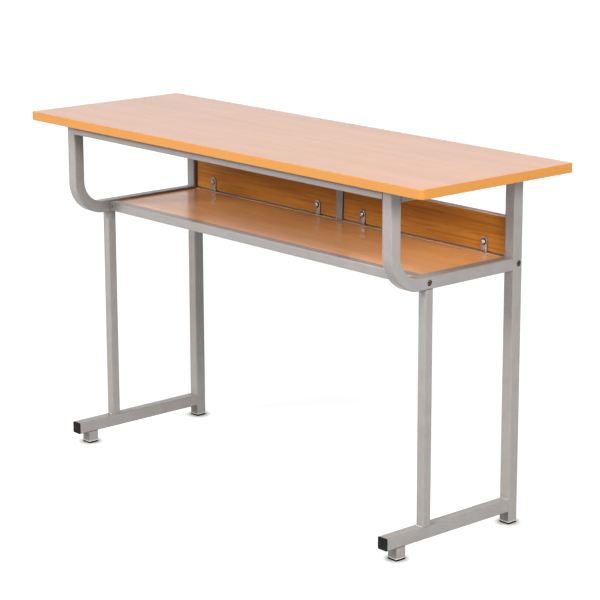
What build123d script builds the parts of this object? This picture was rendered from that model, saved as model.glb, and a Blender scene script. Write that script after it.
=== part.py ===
from build123d import *
import os

# School desk for two pupils: a laminated top on a bent square-tube frame with a book shelf.
# Millimetres. +X runs to the right-hand end as seen from the seat, +Y from the seat to the back,
# and +Z up. The origin is on the floor, under the middle of the desktop.

# Desktop
desk_width = 1200.0
desk_depth = 400.0
desk_height = 730.0
desktop_thickness = 18.0
desktop_core_corner = 6.0
edge_band_thickness = 2.0
edge_band_round = 1.0

# Frame tube, light tube and their sheet
frame_tube = 25.0
frame_tube_inner_corner = 1.8
light_tube = 20.0
light_tube_inner_corner = 1.3
tube_wall = 1.2

# Places of the side frames under the desktop
side_overhang = 100.0
arm_setback = 23.0
rear_setback = 28.0
arm_bend_radius = 62.5
book_bay_height = 174.0
front_leg_setback = 112.0
foot_stub_setback = 42.0
foot_rail_setback = 17.0
foot_rail_clearance = 26.0

# Shelf
shelf_thickness = 15.0
shelf_recess = 2.0
shelf_gap = 1.0
shelf_tab_width = 25.0
shelf_tab_reach = 22.0
shelf_tab_thickness = 2.5
shelf_tab_count = 3
shelf_tab_end_gap = 60.0

# Back panels
panel_height = 75.0
panel_thickness = 16.0
panel_end_gap = 1.5
panel_band_thickness = 1.0
bracket_width = 16.0
bracket_height = 30.5
bracket_thickness = 2.5
bracket_foot_reach = 12.0
bracket_screw_height = 20.5
outer_bracket_offset = 60.0
inner_bracket_offset = 59.0

# Lugs that hold the desktop
lug_width = 30.0
lug_reach = 22.0
lug_thickness = 2.5
rail_lug_count = 3
rail_lug_end_gap = 80.0

# Wood screws
screw_diameter = 4.0
screw_length = 14.0
screw_head_diameter = 9.0
screw_head_height = 2.6
screw_head_round = 1.4
screw_slot_length = 4.6
screw_slot_width = 1.0
screw_slot_depth = 1.2
screw_clearance = 0.2
screw_end_clearance = 0.5

# Bolts that join the shelf rails to the side frames
bolt_diameter = 6.0
bolt_length = 36.0
bolt_head_diameter = 10.0
bolt_head_height = 6.0
bolt_head_chamfer = 0.6
bolt_head_recess = 2.0
bolt_socket_width = 5.0
bolt_socket_depth = 3.0
bolt_access_clearance = 1.0
bolt_clearance = 0.3
bush_wall = 1.6
nut_block_length = 20.0
nut_block_clearance = 0.2
lock_hole_diameter = 5.0

# Plastic feet and plugs
foot_cap_height = 4.0
foot_cap_chamfer = 0.8
plug_head_thickness = 2.0
plug_head_round = 0.8
plug_spigot_length = 14.0
plug_spigot_wall = 2.0
plug_clearance = 0.2

# Overrun of every cutting tool past the face that it cuts
overrun = 1.0

# Heights
desktop_underside = desk_height - desktop_thickness
top_rail_height = desktop_underside - frame_tube / 2
front_top_rail_height = desktop_underside - light_tube / 2
level_run_top = desktop_underside - book_bay_height
level_run_height = level_run_top - frame_tube / 2
level_run_underside = level_run_top - frame_tube
shelf_rail_top = level_run_height + light_tube / 2
shelf_top = shelf_rail_top - shelf_recess
shelf_underside = shelf_top - shelf_thickness
foot_rail_top = foot_rail_clearance + frame_tube
foot_rail_height = foot_rail_clearance + frame_tube / 2
top_rail_underside = desktop_underside - frame_tube
panel_bottom = shelf_rail_top + bracket_thickness
panel_top = panel_bottom + panel_height
bracket_screw_z = shelf_rail_top + bracket_screw_height

# Places along the desk
frame_outer = desk_width / 2 - side_overhang
frame_inner = frame_outer - frame_tube
frame_centre = frame_outer - frame_tube / 2
bolt_seat = frame_outer - bolt_head_recess - bolt_head_height
front_leg_centre = frame_outer - light_tube / 2
panel_inner_end = light_tube / 2 + panel_end_gap
panel_outer_end = frame_inner - panel_end_gap
bracket_places = (light_tube / 2 + inner_bracket_offset, frame_inner - outer_bracket_offset)

# Places from front to back
desk_front = -desk_depth / 2
arm_front = desk_front + arm_setback
arm_centre = arm_front + frame_tube / 2
arm_back = arm_front + frame_tube
front_top_rail_centre = arm_front + light_tube / 2
front_top_rail_back = arm_front + light_tube
frame_rear = desk_depth / 2 - rear_setback
rear_leg_front = frame_rear - frame_tube
rear_leg_centre = frame_rear - frame_tube / 2
front_leg_front = desk_front + front_leg_setback
front_rail_centre = front_leg_front + light_tube / 2
front_rail_back = front_leg_front + light_tube
rear_rail_centre = frame_rear - light_tube / 2
rear_rail_front = frame_rear - light_tube
foot_stub_centre = desk_front + foot_stub_setback + frame_tube / 2
foot_rail_front = desk_front + foot_rail_setback + plug_head_thickness
panel_front = frame_rear - panel_thickness
bracket_front = panel_front - bracket_thickness


def rounded_square(size, corner):
    """A square with rounded corners."""
    return RectangleRounded(size, size, corner)


def frame_section():
    """The hollow cross-section of the frame tube."""
    hollow = frame_tube - 2 * tube_wall
    outline = rounded_square(frame_tube, frame_tube_inner_corner + tube_wall)
    return outline - rounded_square(hollow, frame_tube_inner_corner)


def light_section():
    """The hollow cross-section of the light tube."""
    hollow = light_tube - 2 * tube_wall
    outline = rounded_square(light_tube, light_tube_inner_corner + tube_wall)
    return outline - rounded_square(hollow, light_tube_inner_corner)


def along_x(section, low, high, y, z):
    """A section drawn out along the desk, from x = low to x = high."""
    start = Plane(origin=(low, y, z), x_dir=(0, 1, 0), z_dir=(1, 0, 0))
    return extrude(start * section, amount=high - low)


def along_y(section, x, low, high, z):
    """A section drawn out from front to back, from y = low to y = high."""
    start = Plane(origin=(x, low, z), x_dir=(1, 0, 0), z_dir=(0, 1, 0))
    return extrude(start * section, amount=high - low)


def along_z(section, x, y, low, high):
    """A section drawn upwards, from z = low to z = high."""
    return extrude(Pos(x, y, low) * section, amount=high - low)


def block(low, high):
    """A plain block between two opposite corners."""
    size = [far - near for near, far in zip(low, high)]
    return Pos(*low) * Box(*size, align=(Align.MIN, Align.MIN, Align.MIN))


def span(side, near, far):
    """The lower and upper x of a stretch that lies on one side of the middle."""
    return sorted((side * near, side * far))


def even_places(count, reach):
    """Evenly spaced places from -reach to +reach."""
    return [reach * (2 * i + 1 - count) / max(count - 1, 1) for i in range(count)]


# Side frames

def bolt_holes(side, y):
    """The cuts for one bolt: its shank's hole in the inner wall and its head's in the outer wall."""
    shank = Circle(bolt_diameter / 2 + bolt_clearance)
    access = Circle(bolt_head_diameter / 2 + bolt_access_clearance)
    inner = span(side, frame_inner - overrun, frame_inner + tube_wall + overrun)
    outer = span(side, frame_outer - tube_wall - overrun, frame_outer + overrun)
    return along_x(shank, *inner, y, level_run_height) + along_x(access, *outer, y, level_run_height)


def rear_leg(side):
    """The full-height leg, from its foot cap to the underside of the desktop."""
    x = side * frame_centre
    leg = along_z(frame_section(), x, rear_leg_centre, foot_cap_height, desktop_underside)
    return leg - bolt_holes(side, rear_rail_centre)


def bent_arm(side):
    """The arm: down from under the desktop's front, round the bend and back level to the rear leg."""
    x = side * frame_centre
    route = FilletPolyline(
        (x, arm_centre, desktop_underside),
        (x, arm_centre, level_run_height),
        (x, rear_leg_front, level_run_height),
        radius=arm_bend_radius,
    )
    start = Plane(origin=(x, arm_centre, desktop_underside), x_dir=(1, 0, 0), z_dir=(0, 0, -1))
    arm = sweep(start * frame_section(), path=route)
    return arm - bolt_holes(side, front_rail_centre)


def front_leg(side):
    """The light front leg between the foot rail and the arm's level run, flush with the outside."""
    x = side * front_leg_centre
    return along_z(light_section(), x, front_rail_centre, foot_rail_top, level_run_underside)


def foot_rail(side):
    """The rail near the floor, from its plugged front end to the rear leg."""
    x = side * frame_centre
    return along_y(frame_section(), x, foot_rail_front, rear_leg_front, foot_rail_height)


def foot_stub(side):
    """The short front foot under the foot rail."""
    x = side * frame_centre
    return along_z(frame_section(), x, foot_stub_centre, foot_cap_height, foot_rail_clearance)


def side_top_rail(side):
    """The rail under the desktop's end, from the arm to the rear leg."""
    x = side * frame_centre
    return along_y(frame_section(), x, arm_back, rear_leg_front, top_rail_height)


# Long rails between the side frames

def front_top_rail():
    """The light rail under the desktop's front edge, flush with the front of the arms."""
    return along_x(light_section(), -frame_inner, frame_inner, front_top_rail_centre, front_top_rail_height)


def rear_top_rail():
    """The rail under the desktop's back edge."""
    return along_x(frame_section(), -frame_inner, frame_inner, rear_leg_centre, top_rail_height)


def front_shelf_rail():
    """The light rail in front of the shelf, with a small hole at each end where its nut is locked."""
    rail = along_x(light_section(), -frame_inner, frame_inner, front_rail_centre, level_run_height)
    hole = Circle(lock_hole_diameter / 2)
    for side in (-1, 1):
        x = side * (frame_inner - nut_block_length / 2)
        wall_back = front_leg_front + tube_wall + nut_block_clearance / 2
        rail -= along_y(hole, x, front_leg_front - overrun, wall_back, level_run_height)
    return rail


def rear_shelf_rail():
    """The light rail behind the shelf, which carries the back panels."""
    return along_x(light_section(), -frame_inner, frame_inner, rear_rail_centre, level_run_height)


def centre_post():
    """The light post between the two back panels."""
    return along_z(light_section(), 0, rear_rail_centre, shelf_rail_top, top_rail_underside)


# Screws

def wood_screw():
    """A pan-head screw with its seat at the origin and its shank up +Z."""
    radius = screw_diameter / 2
    shank = extrude(Circle(radius), amount=screw_length - radius)
    tip = Cone(radius, radius / 2, radius, align=(Align.CENTER, Align.CENTER, Align.MIN))
    head = extrude(Circle(screw_head_diameter / 2), amount=-screw_head_height)
    head = fillet(head.faces().sort_by(Axis.Z)[0].edges(), radius=screw_head_round)
    slot = Box(screw_slot_length, screw_slot_width, 2 * screw_slot_depth)
    cross = Pos(0, 0, -screw_head_height) * (slot + Rot(0, 0, 90) * slot)
    return shank + Pos(0, 0, screw_length - radius) * tip + head - cross


def screw_circle():
    """The outline of a screw's clearance or pilot hole."""
    return Circle((screw_diameter + screw_clearance) / 2)


def upward_screws(places):
    """Wood screws with their seats at each (x, y, z), pointing up."""
    screw = wood_screw()
    return Compound([Pos(*place) * screw for place in places])


def upward_pilots(board, places):
    """A board with a pilot hole for each upward screw whose seat is at (x, y, z)."""
    for x, y, z in places:
        board -= along_z(screw_circle(), x, y, z - overrun, z + screw_length + screw_end_clearance)
    return board


def drilled_tab(low, high):
    """One flat tab between two opposite corners, with a screw hole through its middle."""
    x = (low[0] + high[0]) / 2
    y = (low[1] + high[1]) / 2
    return block(low, high) - along_z(screw_circle(), x, y, low[2] - overrun, high[2] + overrun)


# Desktop and what holds it

def rail_lug_xs():
    """Places along the desk of the lugs on the long top rails."""
    return even_places(rail_lug_count, frame_inner - rail_lug_end_gap)


def lug_screw_places():
    """Seats of the desktop's screws, under the lugs."""
    z = desktop_underside - lug_thickness
    rows = (front_top_rail_back + lug_reach / 2, rear_leg_front - lug_reach / 2)
    ends = [(side * (frame_inner - lug_reach / 2), 0, z) for side in (-1, 1)]
    return [(x, y, z) for y in rows for x in rail_lug_xs()] + ends


def rail_lugs(front, back):
    """A row of lugs on one of the long top rails, from y = front to y = back."""
    low_z = desktop_underside - lug_thickness
    half = lug_width / 2
    return Compound(
        [drilled_tab((x - half, front, low_z), (x + half, back, desktop_underside)) for x in rail_lug_xs()]
    )


def side_lugs():
    """One lug in the middle of each side top rail."""
    low_z = desktop_underside - lug_thickness
    half = lug_width / 2
    lugs = []
    for side in (-1, 1):
        left, right = span(side, frame_inner - lug_reach, frame_inner)
        lugs.append(drilled_tab((left, -half, low_z), (right, half, desktop_underside)))
    return Compound(lugs)


def desktop_slab(inset, low, high):
    """The desktop's rounded plan, drawn in by the inset, from z = low to z = high."""
    corner = desktop_core_corner + edge_band_thickness - inset
    plan = RectangleRounded(desk_width - 2 * inset, desk_depth - 2 * inset, corner)
    return along_z(plan, 0, 0, low, high)


def desktop_board():
    """The chipboard core with its pilot holes, inside the edge band."""
    board = desktop_slab(edge_band_thickness, desktop_underside, desk_height)
    return upward_pilots(board, lug_screw_places())


def desktop_edge_band():
    """The plastic strip that goes round the edge of the desktop."""
    slab = desktop_slab(0, desktop_underside, desk_height)
    faces = slab.faces().sort_by(Axis.Z)
    slab = fillet(faces[0].edges() + faces[-1].edges(), radius=edge_band_round)
    return slab - desktop_slab(edge_band_thickness, desktop_underside - overrun, desk_height + overrun)


# Shelf and what holds it

def shelf_tab_xs():
    """Places along the desk of the tabs under the shelf."""
    return even_places(shelf_tab_count, frame_inner - shelf_tab_end_gap)


def shelf_screw_places():
    """Seats of the shelf's screws, under the tabs."""
    z = shelf_underside - shelf_tab_thickness
    rows = (front_rail_back + shelf_tab_reach / 2, rear_rail_front - shelf_tab_reach / 2)
    return [(x, y, z) for y in rows for x in shelf_tab_xs()]


def shelf_tabs(front, back):
    """A row of tabs on one of the shelf rails, from y = front to y = back."""
    low_z = shelf_underside - shelf_tab_thickness
    half = shelf_tab_width / 2
    return Compound(
        [drilled_tab((x - half, front, low_z), (x + half, back, shelf_underside)) for x in shelf_tab_xs()]
    )


def shelf_board():
    """The shelf between the rails, with its pilot holes."""
    end = frame_inner - shelf_gap
    low = (-end, front_rail_back + shelf_gap, shelf_underside)
    high = (end, rear_rail_front - shelf_gap, shelf_top)
    return upward_pilots(block(low, high), shelf_screw_places())


# Back panels

def back_panel(side):
    """One back panel between a rear leg and the centre post, with its pilot holes."""
    left, right = span(side, panel_inner_end, panel_outer_end)
    board_top = panel_top - panel_band_thickness
    panel = block((left, panel_front, panel_bottom), (right, frame_rear, board_top))
    hole_end = bracket_front + screw_length + screw_end_clearance
    for place in bracket_places:
        panel -= along_y(screw_circle(), side * place, bracket_front, hole_end, bracket_screw_z)
    return panel


def panel_edge_band(side):
    """The thin strip on a back panel's upper edge."""
    left, right = span(side, panel_inner_end, panel_outer_end)
    return block((left, panel_front, panel_top - panel_band_thickness), (right, frame_rear, panel_top))


def panel_bracket(x):
    """An angle bracket: a round-topped tab in front of the panel and a foot between panel and rail."""
    half = bracket_width / 2
    shoulder = bracket_height - half
    outline = Pos(0, shoulder / 2) * Rectangle(bracket_width, shoulder) + Pos(0, shoulder) * Circle(half)
    face = Plane(origin=(x, panel_front, shelf_rail_top), x_dir=(1, 0, 0), z_dir=(0, -1, 0))
    tab = extrude(face * outline, amount=bracket_thickness)
    foot_back = bracket_front + bracket_foot_reach
    foot = block((x - half, panel_front, shelf_rail_top), (x + half, foot_back, panel_bottom))
    bracket = tab + foot
    heel = bracket.edges().filter_by(Axis.X).group_by(Axis.Z)[0].sort_by(Axis.Y)[0]
    bracket = fillet(heel, radius=bracket_thickness / 2)
    hole = along_y(screw_circle(), x, bracket_front - overrun, panel_front + overrun, bracket_screw_z)
    return bracket - hole


def panel_screws():
    """The screws through the brackets into the panels."""
    screw = Rot(-90, 0, 0) * wood_screw()
    xs = [side * place for side in (-1, 1) for place in bracket_places]
    return Compound([Pos(x, bracket_front, bracket_screw_z) * screw for x in xs])


# Bolts, bushes and nut blocks

def frame_bolt():
    """A socket-head bolt with its seat at the origin, its head up +Z and its shank down."""
    head = extrude(Circle(bolt_head_diameter / 2), amount=bolt_head_height)
    head = chamfer(head.faces().sort_by(Axis.Z)[-1].edges(), length=bolt_head_chamfer)
    socket = extrude(
        RegularPolygon(bolt_socket_width / 2, 6, major_radius=False), amount=bolt_socket_depth + overrun
    )
    shank = extrude(Circle(bolt_diameter / 2), amount=-bolt_length)
    return head - Pos(0, 0, bolt_head_height - bolt_socket_depth) * socket + shank


def frame_bolts(side):
    """The two bolts of one side frame, into the front and the rear shelf rail."""
    bolt = Rot(0, side * 90, 0) * frame_bolt()
    rows = (front_rail_centre, rear_rail_centre)
    return Compound([Pos(side * bolt_seat, y, level_run_height) * bolt for y in rows])


def bolt_bushes(side):
    """The sleeves inside the side frame that carry the bolts' heads off the inner wall."""
    bore = bolt_diameter / 2 + bolt_clearance
    ring = Circle(bore + bush_wall) - Circle(bore)
    ends = span(side, frame_inner + tube_wall, bolt_seat)
    rows = (front_rail_centre, rear_rail_centre)
    return Compound([along_x(ring, *ends, y, level_run_height) for y in rows])


def nut_blocks(y):
    """The threaded blocks fitted in both ends of one shelf rail."""
    size = light_tube - 2 * (tube_wall + nut_block_clearance)
    section = rounded_square(size, light_tube_inner_corner) - Circle(bolt_diameter / 2 + bolt_clearance)
    ends = [span(side, frame_inner - nut_block_length, frame_inner) for side in (-1, 1)]
    return Compound([along_x(section, left, right, y, level_run_height) for left, right in ends])


# Plastic feet and plugs

def cap_pad(height):
    """The square pad of a foot or plug, down from the origin, as wide as the frame tube."""
    return extrude(rounded_square(frame_tube, frame_tube_inner_corner + tube_wall), amount=-height)


def spigot():
    """The hollow square spigot of a foot or plug, up +Z from the origin."""
    size = frame_tube - 2 * (tube_wall + plug_clearance)
    hollow = size - 2 * plug_spigot_wall
    ring = rounded_square(size, frame_tube_inner_corner) - Rectangle(hollow, hollow)
    return extrude(ring, amount=plug_spigot_length)


def foot_cap(side, y):
    """A foot: a square pad under the tube and a spigot inside it."""
    pad = cap_pad(foot_cap_height)
    pad = chamfer(pad.faces().sort_by(Axis.Z)[0].edges(), length=foot_cap_chamfer)
    return Pos(side * frame_centre, y, foot_cap_height) * (pad + spigot())


def foot_rail_plug(side):
    """The plug in the open front end of a foot rail."""
    head = cap_pad(plug_head_thickness)
    head = fillet(head.faces().sort_by(Axis.Z)[0].edges(), radius=plug_head_round)
    return Pos(side * frame_centre, foot_rail_front, foot_rail_height) * Rot(-90, 0, 0) * (head + spigot())


# The nodes and their files

def side_nodes(name, side):
    """The nodes of one end of the desk."""
    return {
        f"{name}_rear_leg": rear_leg(side),
        f"{name}_bent_arm": bent_arm(side),
        f"{name}_front_leg": front_leg(side),
        f"{name}_foot_rail": foot_rail(side),
        f"{name}_front_foot_stub": foot_stub(side),
        f"{name}_side_top_rail": side_top_rail(side),
        f"{name}_back_panel": back_panel(side),
        f"{name}_panel_edge_band": panel_edge_band(side),
        f"{name}_inner_panel_bracket": panel_bracket(side * bracket_places[0]),
        f"{name}_outer_panel_bracket": panel_bracket(side * bracket_places[1]),
        f"{name}_frame_bolts": frame_bolts(side),
        f"{name}_bolt_bushes": bolt_bushes(side),
        f"{name}_front_foot_cap": foot_cap(side, foot_stub_centre),
        f"{name}_rear_foot_cap": foot_cap(side, rear_leg_centre),
        f"{name}_foot_rail_plug": foot_rail_plug(side),
    }


def middle_nodes():
    """The nodes that run along the desk or are shared by both ends."""
    return {
        "desktop_board": desktop_board(),
        "desktop_edge_band": desktop_edge_band(),
        "front_top_rail": front_top_rail(),
        "rear_top_rail": rear_top_rail(),
        "front_shelf_rail": front_shelf_rail(),
        "rear_shelf_rail": rear_shelf_rail(),
        "centre_post": centre_post(),
        "front_desktop_lugs": rail_lugs(front_top_rail_back, front_top_rail_back + lug_reach),
        "rear_desktop_lugs": rail_lugs(rear_leg_front - lug_reach, rear_leg_front),
        "side_desktop_lugs": side_lugs(),
        "desktop_screws": upward_screws(lug_screw_places()),
        "shelf_board": shelf_board(),
        "front_shelf_tabs": shelf_tabs(front_rail_back, front_rail_back + shelf_tab_reach),
        "rear_shelf_tabs": shelf_tabs(rear_rail_front - shelf_tab_reach, rear_rail_front),
        "shelf_screws": upward_screws(shelf_screw_places()),
        "panel_screws": panel_screws(),
        "front_rail_nut_blocks": nut_blocks(front_rail_centre),
        "rear_rail_nut_blocks": nut_blocks(rear_rail_centre),
    }


def write_parts(nodes):
    """Writes one file for each node."""
    os.makedirs("parts", exist_ok=True)
    for name, shape in nodes.items():
        export_step(shape, f"parts/{name}.step")


write_parts({**side_nodes("left", -1), **side_nodes("right", 1), **middle_nodes()})
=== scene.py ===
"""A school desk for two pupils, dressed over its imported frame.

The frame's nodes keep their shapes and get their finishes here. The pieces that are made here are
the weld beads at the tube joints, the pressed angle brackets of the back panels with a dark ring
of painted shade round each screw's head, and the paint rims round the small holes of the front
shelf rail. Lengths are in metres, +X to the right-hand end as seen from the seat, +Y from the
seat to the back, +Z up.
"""

import logging
import math
from dataclasses import dataclass, field
from enum import Enum
from typing import Any, Iterable, Optional, Union

import bmesh
import bpy
from mathutils import Matrix, Vector


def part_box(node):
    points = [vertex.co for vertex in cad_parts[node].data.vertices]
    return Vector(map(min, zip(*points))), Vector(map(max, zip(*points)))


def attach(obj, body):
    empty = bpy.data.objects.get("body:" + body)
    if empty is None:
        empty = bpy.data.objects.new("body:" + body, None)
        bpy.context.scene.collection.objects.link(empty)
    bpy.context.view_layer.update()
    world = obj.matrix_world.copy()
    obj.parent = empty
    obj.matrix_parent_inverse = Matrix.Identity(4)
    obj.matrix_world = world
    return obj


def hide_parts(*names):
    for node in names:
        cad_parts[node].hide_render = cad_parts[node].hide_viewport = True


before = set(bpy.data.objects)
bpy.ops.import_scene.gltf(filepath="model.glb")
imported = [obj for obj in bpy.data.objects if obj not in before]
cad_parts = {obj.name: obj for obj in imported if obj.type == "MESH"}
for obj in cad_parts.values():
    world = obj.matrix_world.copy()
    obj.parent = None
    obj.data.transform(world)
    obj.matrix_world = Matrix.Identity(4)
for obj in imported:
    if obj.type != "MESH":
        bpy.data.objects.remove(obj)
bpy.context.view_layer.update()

LOG = logging.getLogger("school_desk")
BODY = "root"
MM = 0.001
TOUCH = 0.02 * MM

Colour = tuple[float, float, float, float]
Pair = tuple[float, float]
Triple = tuple[float, float, float]
Value = Union[float, Triple, Colour, "Expression"]


def srgb(red: float, green: float, blue: float) -> Colour:
    """Turns a screen colour of 0 to 255 into the linear colour that shaders use.

    Args:
        red: The red channel.
        green: The green channel.
        blue: The blue channel.

    Returns:
        The linear colour with full opacity.
    """
    channels = [channel / 255 for channel in (red, green, blue)]
    linear = [c / 12.92 if c <= 0.04045 else ((c + 0.055) / 1.055) ** 2.4 for c in channels]
    return (linear[0], linear[1], linear[2], 1.0)


def direction(azimuth: float, elevation: float) -> Vector:
    """The direction from the desk to a light or the camera.

    Args:
        azimuth: Degrees from the seat's side towards the right.
        elevation: Degrees above the floor's plane.

    Returns:
        A vector of length one.
    """
    turn, rise = math.radians(azimuth), math.radians(elevation)
    flat = math.cos(rise)
    return Vector((math.sin(turn) * flat, -math.cos(turn) * flat, math.sin(rise)))


class Side(Enum):
    """The two ends of the desk."""

    LEFT = -1
    RIGHT = 1

    @property
    def label(self) -> str:
        """The name that the frame's nodes start with."""
        return self.name.lower()


class Axis(Enum):
    """The direction that a weld bead runs in."""

    X = 0
    Y = 1

    @property
    def turn(self) -> Matrix:
        """The turn that lays an upright rod along this axis."""
        return Matrix.Rotation(math.pi / 2, 4, "Y" if self is Axis.X else "X")


@dataclass
class Expression:
    """A shader socket that Python's operators turn into Math nodes."""

    painter: "Painter"
    socket: bpy.types.NodeSocket

    def _maths(self, operation: str, first: Value, second: Value = 0.0) -> "Expression":
        """Adds one Math node."""
        return self.painter.node("ShaderNodeMath", {"operation": operation}, {0: first, 1: second})

    def __add__(self, other: Value) -> "Expression":
        """This plus the other."""
        return self._maths("ADD", self, other)

    def __radd__(self, other: Value) -> "Expression":
        """The other plus this."""
        return self._maths("ADD", other, self)

    def __sub__(self, other: Value) -> "Expression":
        """This less the other."""
        return self._maths("SUBTRACT", self, other)

    def __rsub__(self, other: Value) -> "Expression":
        """The other less this."""
        return self._maths("SUBTRACT", other, self)

    def __mul__(self, other: Value) -> "Expression":
        """This times the other."""
        return self._maths("MULTIPLY", self, other)

    def __rmul__(self, other: Value) -> "Expression":
        """The other times this."""
        return self._maths("MULTIPLY", other, self)

    def __gt__(self, other: Value) -> "Expression":
        """One where this is greater than the other, else zero."""
        return self._maths("GREATER_THAN", self, other)

    def __lt__(self, other: Value) -> "Expression":
        """One where this is less than the other, else zero."""
        return self._maths("LESS_THAN", self, other)

    def __abs__(self) -> "Expression":
        """The size of this."""
        return self._maths("ABSOLUTE", self)

    def hypot(self, other: "Expression") -> "Expression":
        """The root of this squared plus the other squared."""
        return self._maths("POWER", self * self + other * other, 0.5)

    def ramp(self, low: float, high: float) -> "Expression":
        """A smooth step from zero at low to one at high."""
        settings = {"interpolation_type": "SMOOTHSTEP"}
        return self.painter.node("ShaderNodeMapRange", settings, {0: self, 1: low, 2: high})


@dataclass
class Painter:
    """Builds the nodes of one material, or of the world."""

    owner: Union[bpy.types.Material, bpy.types.World]

    def __post_init__(self) -> None:
        """Starts an empty node tree."""
        self.owner.use_nodes = True
        self.owner.node_tree.nodes.clear()

    @classmethod
    def of_material(cls, name: str) -> "Painter":
        """A painter of a new material."""
        return cls(bpy.data.materials.new(name))

    def node(
        self,
        kind: str,
        settings: Optional[dict[str, Any]] = None,
        values: Optional[dict[Union[int, str], Value]] = None,
        output: Union[int, str] = 0,
    ) -> Expression:
        """Adds any node.

        Args:
            kind: The node's type.
            settings: Properties that are set first.
            values: A value or an expression for each input, by name or number.
            output: The output that is returned.

        Returns:
            The chosen output.
        """
        made = self.owner.node_tree.nodes.new(kind)
        for key, setting in (settings or {}).items():
            setattr(made, key, setting)
        for key, value in (values or {}).items():
            if isinstance(value, Expression):
                self.owner.node_tree.links.new(value.socket, made.inputs[key])
            else:
                made.inputs[key].default_value = value
        return Expression(self, made.outputs[output])

    def place(self, stretch: Triple) -> Expression:
        """The point on the object in metres, stretched along each axis."""
        values = {"Vector": self.node("ShaderNodeTexCoord", output="Object"), "Scale": stretch}
        return self.node("ShaderNodeMapping", values=values)

    def axes(self) -> tuple[Expression, Expression, Expression]:
        """Splits the point on the object.

        Returns:
            Its X, Y and Z.
        """
        point = self.node("ShaderNodeTexCoord", output="Object")
        parts = self.node("ShaderNodeSeparateXYZ", values={0: point}).socket.node.outputs
        return Expression(self, parts[0]), Expression(self, parts[1]), Expression(self, parts[2])

    def mix(self, share: Value, first: Value, second: Value) -> Expression:
        """Mixes two colours by a share."""
        values = {0: share, 6: first, 7: second}
        return self.node("ShaderNodeMix", {"data_type": "RGBA"}, values, output=2)

    def bump(self, height: Value, depth: float, strength: float) -> Expression:
        """A bumped normal from a height of zero to one and a depth in metres."""
        values = {"Strength": strength, "Distance": depth, "Height": height}
        return self.node("ShaderNodeBump", values=values)

    def surface(self, values: dict[str, Value]) -> bpy.types.Material:
        """Ends the material with one Principled shader and returns it."""
        self.end("ShaderNodeOutputMaterial", self.node("ShaderNodeBsdfPrincipled", values=values))
        return self.owner

    def end(self, kind: str, shader: Expression) -> None:
        """Ends the tree with one shader."""
        output = self.owner.node_tree.nodes.new(kind)
        self.owner.node_tree.links.new(shader.socket, output.inputs["Surface"])


@dataclass(frozen=True)
class Pattern:
    """A soft noise over a piece, with the step that cuts a mask from it and the mask's share.

    The scale is the number of features in a metre, the detail the number of finer layers, and rough
    how strong these are. A stretch below one makes the features longer along that axis.
    """

    scale: float
    detail: float = 2.0
    rough: float = 0.5
    stretch: Triple = (1.0, 1.0, 1.0)
    step: Pair = (0.0, 1.0)
    share: float = 1.0

    def noise(self, painter: Painter) -> Expression:
        """Adds the noise, which lies between zero and one.

        Args:
            painter: The painter of the material.

        Returns:
            The noise.
        """
        values = {"Scale": self.scale, "Detail": self.detail, "Roughness": self.rough}
        values["Vector"] = painter.place(self.stretch)
        return painter.node("ShaderNodeTexNoise", values=values)

    def mask(self, noise: Expression) -> Expression:
        """How much of a second colour shows where the noise is strong."""
        return noise.ramp(*self.step) * self.share


@dataclass(frozen=True)
class LaminateFinish:
    """A satin wood-print laminate with its grain along the desk."""

    name: str
    base: Colour = (0.25, 0.098, 0.0345, 1.0)
    dark: Colour = (0.186, 0.068, 0.0212, 1.0)
    light: Colour = (0.288, 0.118, 0.044, 1.0)
    roughness: float = 0.34
    shine: float = 0.5
    coat: float = 0.8
    coat_roughness: float = 0.16
    grain_share: float = 0.6
    figure: Pattern = Pattern(26.0, 4.0, 0.55, (0.1, 1.0, 1.0), (0.36, 0.66))
    lines: Pattern = Pattern(240.0, 3.0, 0.6, (0.03, 1.0, 1.0), (0.42, 0.68))
    flecks: Pattern = Pattern(900.0, 1.0, 0.5, (0.06, 1.0, 1.0), (0.55, 0.74), 0.4)
    cloud: Pattern = Pattern(9.0, 3.0)
    pores: Pattern = Pattern(1260.0, 1.0, 0.5, (0.12, 1.0, 1.0))
    cloud_wear: float = 0.08
    fleck_wear: float = 0.05
    pore_depth: float = 0.02 * MM
    pore_strength: float = 0.3

    def build(self) -> bpy.types.Material:
        """Builds the material.

        Returns:
            The laminate.
        """
        painter = Painter.of_material(self.name)
        figure = self.figure.noise(painter)
        lines = self.lines.noise(painter)
        flecks = self.flecks.noise(painter)
        cloud = self.cloud.noise(painter)
        colour = painter.mix(self.figure.mask(figure), self.base, self.light)
        colour = painter.mix(self.lines.mask(lines) * self.grain_share, colour, self.dark)
        colour = painter.mix(self.flecks.mask(flecks), colour, self.dark)
        wear = cloud * self.cloud_wear + flecks * self.fleck_wear
        pores = self.pores.noise(painter)
        return painter.surface(
            {
                "Base Color": colour,
                "Roughness": self.roughness + wear,
                "Specular IOR Level": self.shine,
                "Coat Weight": self.coat,
                "Coat Roughness": self.coat_roughness,
                "Normal": painter.bump(pores, self.pore_depth, self.pore_strength),
            }
        )


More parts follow.
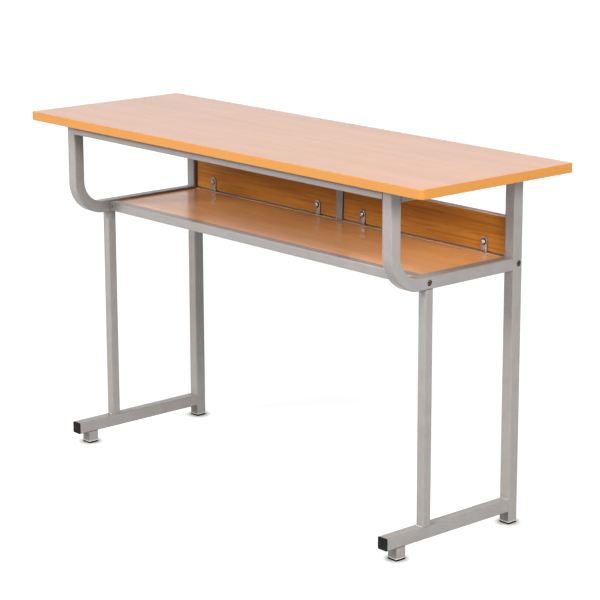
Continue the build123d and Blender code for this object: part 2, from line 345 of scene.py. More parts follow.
@dataclass(frozen=True)
class EdgingFinish:
    """Extruded plastic edging with a faint grain along its length."""

    name: str
    base: Colour
    shade: Colour
    roughness: float = 0.38
    shine: float = 0.3
    streaks: Pattern = Pattern(700.0, 3.0, 0.6, (0.05, 0.05, 1.0), (0.4, 0.75), 0.45)
    cloud: Pattern = Pattern(22.0, 3.0, step=(0.45, 0.75), share=0.2)
    skin: Pattern = Pattern(1600.0)
    streak_wear: float = 0.1
    skin_depth: float = 0.02 * MM
    skin_strength: float = 0.3

    def build(self) -> bpy.types.Material:
        """Builds the material.

        Returns:
            The plastic.
        """
        painter = Painter.of_material(self.name)
        streaks = self.streaks.noise(painter)
        cloud = self.cloud.noise(painter)
        skin = self.skin.noise(painter)
        colour = painter.mix(self.streaks.mask(streaks), self.base, self.shade)
        return painter.surface(
            {
                "Base Color": painter.mix(self.cloud.mask(cloud), colour, self.shade),
                "Roughness": self.roughness + streaks * self.streak_wear,
                "Specular IOR Level": self.shine,
                "Normal": painter.bump(skin, self.skin_depth, self.skin_strength),
            }
        )


@dataclass(frozen=True)
class PaintMarks:
    """Where the paint carries painted shade, a painted reflection, and a lighter rim that is partly
    bare edge and partly painted highlight, told by the place on the desk.

    A band or an edge is a pair: where its step starts and where it ends. X counts from the middle
    of the desk to both ends, except at the weld's pit, which is at the left end only.
    """

    # Painted shade: a dark band just under the desktop, and on the front top rail a lower band that
    # is the painted shadow of the desktop's overhang.
    under_desktop_shade: Pair = (0.708, 0.71)
    overhang_shadow: Pair = (0.701, 0.7055)
    top_rail_front: float = -0.1576
    top_rail_end: float = 0.4744
    # Painted shade at the tops of the front legs, under the bent arms.
    under_arm_shade: Pair = (0.51, 0.512)
    arm_inside: Pair = (0.513, 0.5135)
    front_leg_middle: float = -0.078
    front_leg_face: Pair = (0.0105, 0.01155)
    outer_face: Pair = (0.4988, 0.4994)
    # Painted shade at the front shelf rail's ends where they meet the arms, in its small holes, and
    # in the pit of one weld, which has no hollow of its own.
    shelf_rail_end: Pair = (0.472, 0.4732)
    shelf_rail_stop: Pair = (0.4744, 0.4748)
    shelf_rail_top: float = 0.5361
    shelf_rail_back: float = -0.058
    hole: Pair = (0.465, 0.5255)
    hole_radius: float = 2.75 * MM
    pit: Pair = (-0.4875, 0.0525)
    pit_radius: float = 1.4 * MM
    pit_front: float = -0.0915
    # Painted shade on the fronts of the stubs and of the rear feet, under the foot rails.
    stub_front: float = -0.158
    stub_share: float = 0.75
    rear_leg_front: float = 0.147
    front_skin: Pair = (0.6 * MM, 1.2 * MM)
    foot_rail_bottom: float = 0.026
    # A painted warm reflection of the back panel on top of the rear shelf rail.
    dust_bottom: float = 0.5333
    dust_front: float = 0.1515
    dust_end: float = 0.475
    # A lighter rim over the foot caps, partly bare edge and partly painted highlight.
    cap_rim: Pair = (0.0052, 0.006)

    def painted_shade(self, painter: Painter) -> Expression:
        """Where painted shade sits: under the desktop, as the desktop overhang's shadow on the
        front top rail, where the front legs meet the arms, at the front shelf rail's ends, in its
        small holes and in the pit of one weld.

        Args:
            painter: The painter of the paint.

        Returns:
            One in these places and zero elsewhere.
        """
        x, y, z = painter.axes()
        across = abs(x)
        on_top_rail = (y < self.top_rail_front) * (across < self.top_rail_end)
        top = z.ramp(*self.under_desktop_shade)
        top = top + z.ramp(*self.overhang_shadow) * on_top_rail * (1.0 - top)
        leg_top = z.ramp(*self.under_arm_shade) * (1.0 - z.ramp(*self.arm_inside))
        leg_top = leg_top * (1.0 - abs(y - self.front_leg_middle).ramp(*self.front_leg_face))
        leg_top = leg_top * (1.0 - across.ramp(*self.outer_face))
        end = across.ramp(*self.shelf_rail_end) * (1.0 - across.ramp(*self.shelf_rail_stop))
        hole = (across - self.hole[0]).hypot(z - self.hole[1]) < self.hole_radius
        shelf_rail = (end * (z < self.shelf_rail_top) + hole) * (y < self.shelf_rail_back)
        pit = (x - self.pit[0]).hypot(z - self.pit[1]) < self.pit_radius
        return top + leg_top + shelf_rail + pit * (y < self.pit_front)

    def dull(self, painter: Painter) -> Expression:
        """Where shade is painted: on the fronts of the stubs and rear feet, under the foot rails.

        Args:
            painter: The painter of the paint.

        Returns:
            The share of the dull colour.
        """
        _, y, z = painter.axes()
        stub = 1.0 - abs(y - self.stub_front).ramp(*self.front_skin)
        foot = 1.0 - abs(y - self.rear_leg_front).ramp(*self.front_skin)
        return (stub * self.stub_share + foot) * (z < self.foot_rail_bottom)

    def dust(self, painter: Painter) -> Expression:
        """Where the back panel's warm reflection is painted: on top of the rear shelf rail and on
        its edge over the shelf.

        Args:
            painter: The painter of the paint.

        Returns:
            One there and zero elsewhere.
        """
        x, y, z = painter.axes()
        band = (z > self.dust_bottom) * (z < self.shelf_rail_top)
        return band * (y > self.dust_front) * (abs(x) < self.dust_end)

    def rim_bare_and_highlight(self, painter: Painter) -> Expression:
        """One on the rims over the foot caps, painted lighter as partly a bare edge and partly a
        painted highlight, and zero elsewhere.
        """
        _, _, z = painter.axes()
        return 1.0 - z.ramp(*self.cap_rim)


@dataclass(frozen=True)
class PowderCoatFinish:
    """Light warm grey powder coat with a little orange peel."""

    name: str = "frame_powder_coat"
    base: Colour = (0.124, 0.114, 0.106, 1.0)
    shade: Colour = (0.098, 0.088, 0.082, 1.0)
    # The next four colours paint light and shade on the tubes: a dark brown for painted shade under
    # the desktop, at joints and in holes; a dull brown for painted shade on the feet's fronts; a
    # warm brown for the back panel's painted reflection on the rear shelf rail; a light grey for
    # the rims over the foot caps, partly bare edge and partly painted highlight.
    painted_shade: Colour = (0.03, 0.017, 0.009, 1.0)
    dull: Colour = (0.048, 0.036, 0.024, 1.0)
    dust: Colour = (0.195, 0.105, 0.042, 1.0)
    bare_and_highlight: Colour = (0.4, 0.39, 0.38, 1.0)
    painted_shade_share: float = 0.9
    bare_and_highlight_share: float = 0.6
    roughness: float = 0.34
    coat: float = 0.45
    coat_roughness: float = 0.2
    cloud: Pattern = Pattern(35.0, 4.0, 0.6, step=(0.38, 0.72), share=0.5)
    peel: Pattern = Pattern(420.0, step=(0.4, 0.66), share=0.5)
    speck: Pattern = Pattern(2600.0, 1.0, step=(0.6, 0.8), share=0.4)
    peel_wear: float = 0.12
    cloud_wear: float = 0.06
    speck_height: float = 0.3
    peel_depth: float = 0.05 * MM
    peel_strength: float = 0.4
    marks: PaintMarks = PaintMarks()

    def build(self) -> bpy.types.Material:
        """Builds the material.

        Returns:
            The paint.
        """
        painter = Painter.of_material(self.name)
        cloud = self.cloud.noise(painter)
        peel = self.peel.noise(painter)
        speck = self.speck.noise(painter)
        colour = painter.mix(self.cloud.mask(cloud), self.base, self.shade)
        colour = painter.mix(self.peel.mask(peel), colour, self.shade)
        colour = painter.mix(self.speck.mask(speck), colour, self.shade)
        # From here the colour takes the painted shade, the painted shade on the feet's fronts, the
        # painted reflection and the rims' partly painted highlight.
        colour = painter.mix(self.marks.painted_shade(painter) * self.painted_shade_share, colour, self.painted_shade)
        colour = painter.mix(self.marks.dull(painter), colour, self.dull)
        colour = painter.mix(self.marks.dust(painter), colour, self.dust)
        colour = painter.mix(self.marks.rim_bare_and_highlight(painter) * self.bare_and_highlight_share, colour, self.bare_and_highlight)
        height = peel + speck * self.speck_height
        return painter.surface(
            {
                "Base Color": colour,
                "Roughness": self.roughness + peel * self.peel_wear + cloud * self.cloud_wear,
                "Coat Weight": self.coat,
                "Coat Roughness": self.coat_roughness,
                "Normal": painter.bump(height, self.peel_depth, self.peel_strength),
            }
        )


@dataclass(frozen=True)
class MetalFinish:
    """Bare or plated steel of the small fixings."""

    name: str
    base: Colour
    shade: Colour
    roughness: float
    metallic: float = 1.0
    cloud: Pattern = Pattern(160.0, 4.0, 0.6, step=(0.4, 0.7))
    brushed: Pattern = Pattern(2400.0, stretch=(1.0, 1.0, 0.1))
    cloud_wear: float = 0.15
    brush_wear: float = 0.08
    brush_depth: float = 0.03 * MM
    brush_strength: float = 0.3

    def build(self) -> bpy.types.Material:
        """Builds the material.

        Returns:
            The metal.
        """
        painter = Painter.of_material(self.name)
        cloud = self.cloud.noise(painter)
        brushed = self.brushed.noise(painter)
        wear = cloud * self.cloud_wear + brushed * self.brush_wear
        return painter.surface(
            {
                "Base Color": painter.mix(self.cloud.mask(cloud), self.base, self.shade),
                "Metallic": self.metallic,
                "Roughness": self.roughness + wear,
                "Normal": painter.bump(brushed, self.brush_depth, self.brush_strength),
            }
        )


@dataclass(frozen=True)
class MouldedFinish:
    """Black moulded plastic of the plugs and feet, with a fine spark-eroded texture."""

    name: str = "moulded_black"
    base: Colour = (0.006, 0.005, 0.0045, 1.0)
    worn: Colour = (0.013, 0.011, 0.01, 1.0)
    roughness: float = 0.6
    shine: float = 0.05
    texture: Pattern = Pattern(2200.0, 3.0, 0.7)
    scuffs: Pattern = Pattern(90.0, 5.0, 0.7, step=(0.5, 0.75))
    texture_wear: float = 0.15
    texture_depth: float = 0.08 * MM
    texture_strength: float = 0.5

    def build(self) -> bpy.types.Material:
        """Builds the material.

        Returns:
            The plastic.
        """
        painter = Painter.of_material(self.name)
        texture = self.texture.noise(painter)
        scuffs = self.scuffs.noise(painter)
        return painter.surface(
            {
                "Base Color": painter.mix(self.scuffs.mask(scuffs), self.base, self.worn),
                "Roughness": self.roughness + texture * self.texture_wear,
                "Specular IOR Level": self.shine,
                "Normal": painter.bump(texture, self.texture_depth, self.texture_strength),
            }
        )


@dataclass(frozen=True)
class FloorFinish:
    """Plain pale studio floor with a glow that lifts it to white, except close to the feet, where
    the cut glow paints a soft shadow.
    """

    name: str = "studio_floor"
    base: Colour = (0.14, 0.14, 0.14, 1.0)
    lift: Colour = (0.98, 0.98, 0.98, 1.0)
    dark: Colour = (0.8, 0.8, 0.8, 1.0)
    shadow: Colour = (0.14, 0.14, 0.14, 1.0)
    roughness: float = 0.85
    glow_strength: float = 1.0
    open_floor: Pair = (0.7, 4.5)
    foot_x: float = 0.4875
    front_foot_y: float = -0.1455
    rear_foot_y: float = 0.1595
    foot_reach: Pair = (0.012, 0.034)
    cloud: Pattern = Pattern(1.5)
    cloud_wear: float = 0.05

    def clear_of_feet(self, x: Expression, y: Expression) -> Expression:
        """Zero under the four feet and one away from them: the glow is cut there, which paints a
        soft shadow round each foot.

        Args:
            x: The floor's X.
            y: The floor's Y.

        Returns:
            The share of the lift that is kept.
        """
        across = abs(abs(x) - self.foot_x)
        front = across.hypot(y - self.front_foot_y).ramp(*self.foot_reach)
        return front * across.hypot(y - self.rear_foot_y).ramp(*self.foot_reach)

    def build(self) -> bpy.types.Material:
        """Builds the material.

        Returns:
            The floor.
        """
        painter = Painter.of_material(self.name)
        x, y, _ = painter.axes()
        glow = painter.mix(x.hypot(y).ramp(*self.open_floor), self.dark, self.lift)
        cloud = self.cloud.noise(painter)
        return painter.surface(
            {
                "Base Color": self.base,
                "Roughness": self.roughness + cloud * self.cloud_wear,
                "Emission Color": painter.mix(self.clear_of_feet(x, y), self.shadow, glow),
                "Emission Strength": self.glow_strength,
            }
        )


class Finishes:
    """The finishes of the desk, each built once."""

    def __init__(self) -> None:
        """Builds the materials."""
        self.zinc = self._metal("zinc_plate", (196, 192, 186), (170, 164, 158), 0.3)
        # The bolts' steel: its light base against a dark shade in a coarse noise paints a glint on
        # part of each head (painted highlight).
        self.dark_steel = self._metal("bolt_steel_painted_glint", (134, 119, 96), (50, 43, 37), 0.26)
        self.screw = self._metal("worn_zinc_plate", (188, 183, 175), (112, 106, 99), 0.22)
        self.bracket = self._metal("dull_zinc_plate", (142, 133, 130), (108, 100, 97), 0.44)
        # A near-black steel used as painted shade: on the bushes in the bolt holes, on the front
        # nut blocks behind the shelf rail's small holes, and on the dark rings round the panel
        # screws' heads.
        self.washer = self._metal("shade_black_steel", (52, 48, 46), (36, 33, 31), 0.5)
        # The shelf's and the panels' base colours differ from the desktop's for how light falls on
        # them under the desktop: they are lit and shaded copies of one laminate (painted light and
        # shade).
        self.desktop = LaminateFinish("desktop_laminate", grain_share=0.3).build()
        self.shelf = LaminateFinish(
            "shelf_laminate",
            base=(0.465, 0.205, 0.064, 1.0),
            dark=(0.35, 0.135, 0.038, 1.0),
            light=(0.52, 0.243, 0.083, 1.0),
            coat=0.6,
        ).build()
        self.panel = LaminateFinish(
            "panel_laminate",
            base=(0.292, 0.104, 0.0105, 1.0),
            dark=(0.183, 0.0565, 0.0046, 1.0),
            light=(0.356, 0.134, 0.016, 1.0),
            roughness=0.5,
            shine=0.1,
            coat=0.0,
            grain_share=0.65,
        ).build()
        self.edging = EdgingFinish(
            "desktop_edging",
            base=(0.246, 0.1, 0.013, 1.0),
            shade=(0.206, 0.079, 0.0093, 1.0),
        ).build()
        self.panel_edging = EdgingFinish(
            "panel_edging",
            base=(0.62, 0.45, 0.36, 1.0),
            shade=(0.55, 0.38, 0.3, 1.0),
            roughness=0.45,
        ).build()
        self.frame = PowderCoatFinish().build()
        self.plastic = MouldedFinish().build()

    @staticmethod
    def _metal(name: str, base: Triple, shade: Triple, roughness: float) -> bpy.types.Material:
        """One metal from two screen colours."""
        return MetalFinish(name, srgb(*base), srgb(*shade), roughness).build()


def dress(node: str, material: bpy.types.Material) -> None:
    """Gives one frame node its finish.

    Args:
        node: The node's name.
        material: The finish for all its faces.
    """
    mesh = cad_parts[node].data
    mesh.materials.clear()
    mesh.materials.append(material)
    LOG.info("dressed %s with %s", node, material.name)


def add_to(shape: bmesh.types.BMesh, part: bmesh.types.BMesh) -> None:
    """Moves a finished part's mesh into a larger one.

    Args:
        shape: The mesh that grows.
        part: The mesh that is added and then freed.
    """
    carrier = bpy.data.meshes.new("carrier")
    part.to_mesh(carrier)
    part.free()
    shape.from_mesh(carrier)
    bpy.data.meshes.remove(carrier)


def bevel(
    shape: bmesh.types.BMesh,
    geom: list[Any],
    offset: float,
    segments: int,
    affect: str = "EDGES",
    clamp: bool = False,
) -> None:
    """Rounds some edges or corners.

    Args:
        shape: The mesh that they belong to.
        geom: The edges or the corners.
        offset: The radius of the rounding.
        segments: How many faces it has.
        affect: EDGES or VERTICES.
        clamp: Whether roundings that would overlap stop where they meet.
    """
    bmesh.ops.bevel(
        shape,
        geom=geom,
        offset=offset,
        affect=affect,
        segments=segments,
        profile=0.5,
        material=-1,
        clamp_overlap=clamp,
    )


def spin_ring(
    shape: bmesh.types.BMesh,
    centre: Vector,
    profile: Iterable[Pair],
    steps: int,
) -> None:
    """Spins a profile into a low ring that stands on a face and points to the desk's front.

    Args:
        shape: The mesh that the ring is added to.
        centre: The middle of the ring, on the face.
        profile: The radius and the height of each point, from the inside out.
        steps: How many parts the ring has.
    """
    up = Vector((0.0, -1.0, 0.0))
    points = [
        shape.verts.new(centre + Vector((radius, 0.0, 0.0)) + up * rise) for radius, rise in profile
    ]
    lines = [shape.edges.new(pair) for pair in zip(points, points[1:])]
    bmesh.ops.spin(
        shape,
        geom=points + lines,
        cent=centre,
        axis=up,
        angle=2 * math.pi,
        steps=steps,
        use_merge=True,
    )


def add_piece(
    name: str,
    shape: bmesh.types.BMesh,
    material: bpy.types.Material,
) -> bpy.types.Object:
    """Makes one finished piece that rides on the desk.

    Args:
        name: The piece's name.
        shape: Its mesh, in place.
        material: Its finish.

    Returns:
        The new object.
    """
    bmesh.ops.recalc_face_normals(shape, faces=shape.faces)
    mesh = bpy.data.meshes.new(name)
    shape.to_mesh(mesh)
    shape.free()
    for polygon in mesh.polygons:
        polygon.use_smooth = True
    mesh.materials.append(material)
    piece = bpy.data.objects.new(name, mesh)
    bpy.context.scene.collection.objects.link(piece)
    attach(piece, BODY)
    LOG.info("made %s with %d faces", name, len(mesh.polygons))
    return piece


@dataclass
class WeldBead:
    """A run of weld in the corner between two tubes."""

    radius: float = 1.9 * MM
    inset: float = 2.5 * MM
    ripple_pitch: float = 1.7 * MM
    ripple_share: float = 0.13
    wander_ripples: float = 5.3
    phase_steps: tuple[int, int, int] = (3, 7, 5)
    ring_pitch: float = 0.45 * MM
    sides: int = 10
    end_share: float = 0.35
    taper: float = 2.2 * MM

    def lay(self, shape: bmesh.types.BMesh, middle: Vector, axis: Axis, width: float) -> None:
        """Lays one bead.

        Args:
            shape: The mesh that the bead is added to.
            middle: The middle of the bead, on the line where the tubes meet.
            axis: The direction that the bead runs in.
            width: The width of the tube, whose rounded corners the bead stops short of.
        """
        length = width - 2 * self.inset
        rod = bmesh.new()
        bmesh.ops.create_cone(
            rod,
            cap_ends=True,
            segments=self.sides,
            radius1=self.radius,
            radius2=self.radius,
            depth=length,
        )
        long_edges = [e for e in rod.edges if abs(e.verts[0].co.z - e.verts[1].co.z) > length / 2]
        rings = max(int(length / self.ring_pitch), 2)
        bmesh.ops.subdivide_edges(rod, edges=long_edges, cuts=rings)
        for vert in rod.verts:
            swell = self._swell(vert.co.z, length, middle)
            vert.co.x *= swell
            vert.co.y *= swell
        bmesh.ops.transform(rod, matrix=Matrix.Translation(middle) @ axis.turn, verts=rod.verts)
        add_to(shape, rod)

    def _swell(self, along: float, length: float, middle: Vector) -> float:
        """How thick the bead is at one place.

        Args:
            along: The place, from the middle of the bead.
            length: The bead's length.
            middle: The middle of the bead, which makes its ripples differ from the next bead's.

        Returns:
            The share of the radius.
        """
        phase = sum(part * step for part, step in zip(middle, self.phase_steps)) / MM
        ripple = math.sin(2 * math.pi * along / self.ripple_pitch + phase)
        wander_pitch = self.ripple_pitch * self.wander_ripples
        wander = math.sin(2 * math.pi * along / wander_pitch + phase)
        to_end = min((length / 2 - abs(along)) / self.taper, 1.0)
        body = self.end_share + (1 - self.end_share) * math.sqrt(max(to_end, 0.0))
        return body * (1 + self.ripple_share * (ripple + wander))


@dataclass
class Desktop:
    """The laminated top with its edging."""

    finishes: Finishes

    def build(self) -> None:
        """Dresses the board, its edging and the screws that hold it."""
        dress("desktop_board", self.finishes.desktop)
        dress("desktop_edge_band", self.finishes.edging)
        dress("desktop_screws", self.finishes.zinc)


@dataclass
class SideFrame:
    """One welded end of the desk: rear leg, bent arm, front leg, foot rail, stub and top rail."""

    side: Side
    finishes: Finishes
    bead: WeldBead = field(default_factory=WeldBead)
    foot_bead: WeldBead = field(
        default_factory=lambda: WeldBead(radius=2.7 * MM, ripple_pitch=2.8 * MM)
    )
    lump_radius: float = 4.6 * MM
    lump_shape: Triple = (1.0, 0.85, 0.9)
    lump_place: Triple = (8.0 * MM, 1.5 * MM, 1.0 * MM)
    lump_segments: int = 24
    lump_rings: int = 16
    tubes: tuple[str, ...] = (
        "rear_leg",
        "bent_arm",
        "front_leg",
        "foot_rail",
        "front_foot_stub",
        "side_top_rail",
    )
    mouldings: tuple[str, ...] = ("foot_rail_plug", "front_foot_cap", "rear_foot_cap")

    def node(self, part: str) -> str:
        """The full name of one of this side's nodes."""
        return f"{self.side.label}_{part}"

    def build(self) -> None:
        """Dresses the tubes, plugs and bolts, and lays the welds."""
        for part in self.tubes:
            dress(self.node(part), self.finishes.frame)
        for part in self.mouldings:
            dress(self.node(part), self.finishes.plastic)
        dress(self.node("frame_bolts"), self.finishes.dark_steel)
        # The bushes are near black, painted shade in the bolt holes.
        dress(self.node("bolt_bushes"), self.finishes.washer)
        self._weld()

    def _cross_beads(
        self,
        shape: bmesh.types.BMesh,
        part: str,
        places: Iterable[Pair],
        bead: Optional[WeldBead] = None,
    ) -> None:
        """Lays beads across the desk's depth direction, each as long as a tube is wide.

        Args:
            shape: The mesh that the beads are added to.
            part: The tube whose width the beads take.
            places: The Y and Z of each bead.
            bead: The kind of bead, if it isn't the usual one.
        """
        low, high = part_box(self.node(part))
        for y, z in places:
            middle = Vector(((low.x + high.x) / 2, y, z))
            (bead or self.bead).lay(shape, middle, Axis.X, high.x - low.x)

    def _lay_lump(self, shape: bmesh.types.BMesh, centre: Vector) -> None:
        """Adds the lump of weld where the bead at the left front leg's foot was started.

        Args:
            shape: The mesh that the lump is added to.
            centre: Its middle.
        """
        lump = bmesh.new()
        bmesh.ops.create_uvsphere(
            lump,
            u_segments=self.lump_segments,
            v_segments=self.lump_rings,
            radius=self.lump_radius,
        )
        bmesh.ops.scale(lump, vec=self.lump_shape, verts=lump.verts)
        bmesh.ops.translate(lump, vec=centre, verts=lump.verts)
        add_to(shape, lump)

    def _weld(self) -> None:
        """Lays the beads at the joints of the tubes."""
        shape = bmesh.new()
        low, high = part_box(self.node("front_leg"))
        faces = (low.y, high.y)
        self._cross_beads(shape, "front_leg", [(y, high.z) for y in faces])
        self._cross_beads(shape, "front_leg", [(y, low.z) for y in faces], self.foot_bead)
        if self.side is Side.LEFT:
            across, ahead, over = self.lump_place
            self._lay_lump(shape, Vector((high.x - across, low.y - ahead, low.z + over)))
        low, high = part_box(self.node("front_foot_stub"))
        self._cross_beads(shape, "front_foot_stub", [(y, high.z) for y in (low.y, high.y)])
        low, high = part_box(self.node("foot_rail"))
        self._cross_beads(shape, "foot_rail", [(high.y, z) for z in (low.z, high.z)])
        low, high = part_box(self.node("bent_arm"))
        tube = high.x - low.x
        self._cross_beads(shape, "bent_arm", [(high.y, z) for z in (low.z, low.z + tube)])
        low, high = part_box(self.node("side_top_rail"))
        self._cross_beads(shape, "side_top_rail", [(y, low.z) for y in (low.y, high.y)])
        add_piece(self.node("frame_welds"), shape, self.finishes.frame)


@dataclass
class LongRails:
    """The rails and the post that join the side frames, with their lugs, tabs and nut blocks."""

    finishes: Finishes
    bead: WeldBead = field(default_factory=WeldBead)
    rim_width: float = 1.3 * MM
    rim_height: float = 0.5 * MM
    rim_slope: float = 0.25
    rim_segments: int = 28
    hole_radius: float = 2.5 * MM
    painted: tuple[str, ...] = (
        "front_top_rail",
        "rear_top_rail",
        "front_shelf_rail",
        "rear_shelf_rail",
        "centre_post",
        "front_desktop_lugs",
        "rear_desktop_lugs",
        "side_desktop_lugs",
        "front_shelf_tabs",
        "rear_shelf_tabs",
    )
    plated: tuple[str, ...] = ("rear_rail_nut_blocks", "shelf_screws")

    def build(self) -> None:
        """Dresses the rails and fixings, and adds the welds and the paint rims."""
        for node in self.painted:
            dress(node, self.finishes.frame)
        # The front nut blocks are near black, painted shade in the shelf rail's small holes.
        dress("front_rail_nut_blocks", self.finishes.washer)
        for node in self.plated:
            dress(node, self.finishes.zinc)
        self._weld()
        self._rim_holes()

    def _weld(self) -> None:
        """Lays the beads at the ends of the top rails and of the post."""
        shape = bmesh.new()
        for node in ("front_top_rail", "rear_top_rail"):
            low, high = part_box(node)
            for x in (low.x, high.x):
                middle = Vector((x, (low.y + high.y) / 2, low.z))
                self.bead.lay(shape, middle, Axis.Y, high.y - low.y)
        low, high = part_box("centre_post")
        for y in (low.y, high.y):
            for z in (low.z, high.z):
                middle = Vector(((low.x + high.x) / 2, y, z))
                self.bead.lay(shape, middle, Axis.X, high.x - low.x)
        add_piece("long_rail_welds", shape, self.finishes.frame)

    def _rim_holes(self) -> None:
        """Adds the raised paint round the small hole at each end of the front shelf rail."""
        low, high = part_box("front_shelf_rail")
        block_low, block_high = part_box("front_rail_nut_blocks")
        shape = bmesh.new()
        inset = (high.y - low.y) / 2
        for side in Side:
            x = side.value * (high.x - inset)
            self._lay_rim(shape, Vector((x, low.y, (block_low.z + block_high.z) / 2)))
        add_piece("shelf_rail_hole_rims", shape, self.finishes.frame)

    def _lay_rim(self, shape: bmesh.types.BMesh, centre: Vector) -> None:
        """Spins the low ring round one hole.

        Args:
            shape: The mesh that the ring is added to.
            centre: The middle of the ring, on the rail's front face.
        """
        inner, outer = self.hole_radius, self.hole_radius + self.rim_width
        slope = self.rim_width * self.rim_slope
        flat = ((inner + slope, self.rim_height), (outer - slope, self.rim_height))
        spin_ring(shape, centre, ((inner, 0.0), *flat, (outer, 0.0)), self.rim_segments)


@dataclass
class BookShelf:
    """The shelf board under the desktop."""

    finishes: Finishes

    def build(self) -> None:
        """Dresses the board."""
        dress("shelf_board", self.finishes.shelf)


@dataclass
class BackPanel:
    """One low back panel with its edging, its two pressed angle brackets and the dark rings of
    painted shade round their screws.
    """

    side: Side
    finishes: Finishes
    bend_radius: float = 2.2 * MM
    bend_segments: int = 4
    round_segments: int = 10
    edge_round: float = 0.35 * MM
    edge_segments: int = 2
    sharp_angle: float = 60.0
    # These size the dark ring round each screw's head, which is painted shade.
    washer_inner: float = 4.4 * MM
    washer_outer: float = 6.4 * MM
    washer_rise: float = 1.1 * MM
    washer_inner_share: float = 0.8
    washer_outer_share: float = 0.3
    washer_segments: int = 32

    def build(self) -> None:
        """Dresses the panel and makes its brackets."""
        label = self.side.label
        dress(f"{label}_back_panel", self.finishes.panel)
        dress(f"{label}_panel_edge_band", self.finishes.panel_edging)
        for place in ("inner", "outer"):
            node = f"{label}_{place}_panel_bracket"
            dress(node, self.finishes.bracket)
            self._make_bracket(node)
            self._make_shade_black(node)

    def _make_bracket(self, node: str) -> None:
        """Replaces one bracket by a pressed one with a round top, a bend and rounded edges.

        Args:
            node: The bracket's node.
        """
        low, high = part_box(node)
        panel_low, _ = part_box(f"{self.side.label}_back_panel")
        thickness = panel_low.y - low.y
        shape = bmesh.new()
        corners = [
            shape.verts.new((x, low.y, z))
            for x, z in ((low.x, low.z), (high.x, low.z), (high.x, high.z), (low.x, high.z))
        ]
        shape.faces.new(corners)
        top_radius = (high.x - low.x) / 2
        bevel(shape, corners[2:], top_radius, self.round_segments, affect="VERTICES", clamp=True)
        bmesh.ops.remove_doubles(shape, verts=shape.verts, dist=TOUCH)
        heel = [e for e in shape.edges if all(abs(v.co.z - low.z) < TOUCH for v in e.verts)]
        grown = bmesh.ops.extrude_edge_only(shape, edges=heel)
        moved = [item for item in grown["geom"] if isinstance(item, bmesh.types.BMVert)]
        bmesh.ops.translate(shape, vec=(0.0, high.y - low.y, 0.0), verts=moved)
        bmesh.ops.recalc_face_normals(shape, faces=shape.faces)
        bevel(shape, heel, self.bend_radius, self.bend_segments)
        wall = self._wall_sign(shape) * thickness
        bmesh.ops.solidify(shape, geom=shape.faces[:], thickness=wall)
        sharp = math.radians(self.sharp_angle)
        edges = [e for e in shape.edges if e.is_manifold and e.calc_face_angle(0.0) > sharp]
        bevel(shape, edges, self.edge_round, self.edge_segments)
        piece = add_piece(f"{node}_pressed", shape, self.finishes.bracket)
        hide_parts(node)

    def _make_shade_black(self, node: str) -> None:
        """Spins a dark ring round the screw's head in one bracket, painted shade where the gap
        round the head is dark.

        Args:
            node: The bracket's node.
        """
        low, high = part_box(node)
        screw_low, screw_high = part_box("panel_screws")
        centre = Vector(((low.x + high.x) / 2, low.y, (screw_low.z + screw_high.z) / 2))
        profile = (
            (self.washer_inner, 0.0),
            (self.washer_inner, self.washer_rise * self.washer_inner_share),
            ((self.washer_inner + self.washer_outer) / 2, self.washer_rise),
            (self.washer_outer, self.washer_rise * self.washer_outer_share),
            (self.washer_outer, 0.0),
        )
        shape = bmesh.new()
        spin_ring(shape, centre, profile, self.washer_segments)
        add_piece(f"{node}_washer", shape, self.finishes.washer)

    @staticmethod
    def _wall_sign(shape: bmesh.types.BMesh) -> float:
        """The sign that makes the sheet grow towards the panel and upwards."""
        tall = max(shape.faces, key=lambda face: face.calc_area())
        return 1.0 if tall.normal.y < 0 else -1.0


@dataclass
class PanelScrews:
    """The four screws that hold the back panels to their brackets."""

    finishes: Finishes

    def build(self) -> None:
        """Dresses the screws."""
        dress("panel_screws", self.finishes.screw)


@dataclass(frozen=True)
class SoftBox:
    """A square area light that faces the desk.

    Azimuth and elevation are degrees as in direction(), the power is in watts, the reach is how far
    it hangs from the desk's middle, and the size is the length of its side.
    """

    name: str
    azimuth: float
    elevation: float
    power: float
    reach: float = 4.5
    size: float = 1.1

    def hang(self, target: Vector) -> None:
        """Hangs the light.

        Args:
            target: The point that it faces.
        """
        light = bpy.data.lights.new(self.name, "AREA")
        light.shape = "SQUARE"
        light.size = self.size
        light.energy = self.power
        lamp = bpy.data.objects.new(self.name, light)
        away = direction(self.azimuth, self.elevation)
        lamp.location = target + away * self.reach
        lamp.rotation_euler = away.to_track_quat("Z", "Y").to_euler()
        bpy.context.scene.collection.objects.link(lamp)


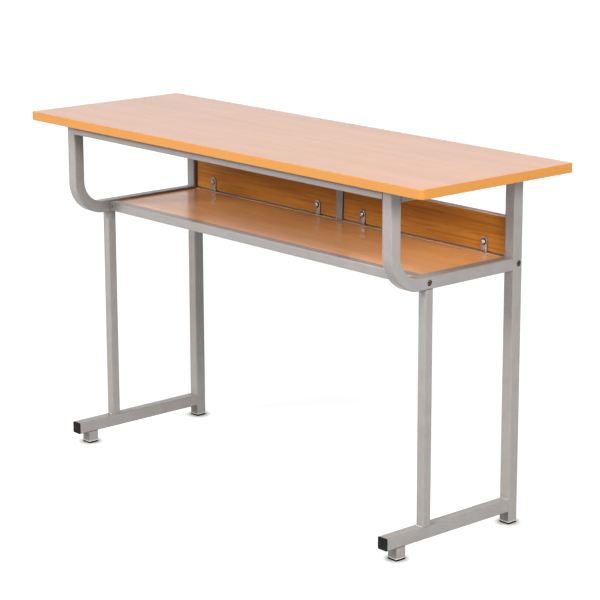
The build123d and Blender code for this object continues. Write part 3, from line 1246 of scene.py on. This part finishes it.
@dataclass
class Studio:
    """The floor, the soft lights and the camera."""

    floor_reach: float = 60.0
    floor_cells: int = 4
    frame_size: float = 600.0
    focal_pixels: float = 2152.276
    sensor: float = 36.0
    azimuth: float = 48.607
    elevation: float = 13.197
    roll: float = 0.17
    eye: Triple = (3.236813, -2.80899, 1.45594)
    axis_row: float = 270.0
    clip_end: float = 180.0
    world_colour: Colour = (1.0, 1.0, 1.0, 1.0)
    low_light: float = 1.0
    high_light: float = 0.05
    fade_heights: Pair = (0.36, 0.56)
    box_target: Triple = (0.0, 0.0, 0.5)
    boxes: tuple[SoftBox, ...] = (
        SoftBox("left_soft_box", -28.0, 24.0, 312.0),
        SoftBox("high_soft_box", 25.0, 50.0, 225.0),
        SoftBox("camera_soft_box", 50.0, 24.0, 65.0),
        SoftBox("high_right_soft_box", 50.0, 50.0, 92.0),
        SoftBox("right_soft_box", 80.0, 23.0, 290.0, size=1.2),
    )

    def build(self) -> None:
        """Builds the whole studio."""
        self._make_floor()
        self._make_world()
        for box in self.boxes:
            box.hang(Vector(self.box_target))
        self._make_camera()

    def _make_floor(self) -> None:
        """Lays the floor under the desk."""
        shape = bmesh.new()
        cells = self.floor_cells
        bmesh.ops.create_grid(shape, x_segments=cells, y_segments=cells, size=self.floor_reach)
        mesh = bpy.data.meshes.new("studio_floor")
        shape.to_mesh(mesh)
        shape.free()
        mesh.materials.append(FloorFinish().build())
        floor = bpy.data.objects.new("studio_floor", mesh)
        bpy.context.scene.collection.objects.link(floor)

    def _make_world(self) -> None:
        """Surrounds the desk with white light that is much weaker from high up."""
        painter = Painter(bpy.data.worlds.new("studio_world"))
        up = painter.node("ShaderNodeTexCoord", output="Generated")
        height = painter.node("ShaderNodeSeparateXYZ", values={0: up}, output=2)
        fade = height.ramp(*self.fade_heights) * (self.low_light - self.high_light)
        values = {"Color": self.world_colour, "Strength": self.low_light - fade}
        painter.end("ShaderNodeOutputWorld", painter.node("ShaderNodeBackground", values=values))
        bpy.context.scene.world = painter.owner
        bpy.context.scene.view_settings.view_transform = "Standard"

    def _make_camera(self) -> None:
        """Sets the camera where the photograph was taken from."""
        data = bpy.data.cameras.new("photo_camera")
        data.sensor_width = self.sensor
        data.lens = self.focal_pixels / self.frame_size * self.sensor
        data.shift_y = (self.axis_row - self.frame_size / 2) / self.frame_size
        data.clip_end = self.clip_end
        camera = bpy.data.objects.new("photo_camera", data)
        camera.location = self.eye
        camera.rotation_mode = "QUATERNION"
        level = (-direction(self.azimuth, self.elevation)).to_track_quat("-Z", "Y")
        lean = Matrix.Rotation(math.radians(-self.roll), 4, "Z").to_quaternion()
        camera.rotation_quaternion = level @ lean
        bpy.context.scene.collection.objects.link(camera)
        bpy.context.scene.camera = camera


def main() -> None:
    """Builds the desk and the studio in order."""
    logging.basicConfig(level=logging.INFO, format="%(name)s: %(message)s")
    finishes = Finishes()
    Desktop(finishes).build()
    for side in Side:
        SideFrame(side, finishes).build()
    LongRails(finishes).build()
    BookShelf(finishes).build()
    for side in Side:
        BackPanel(side, finishes).build()
    PanelScrews(finishes).build()
    Studio().build()


if __name__ == "__main__":
    main()
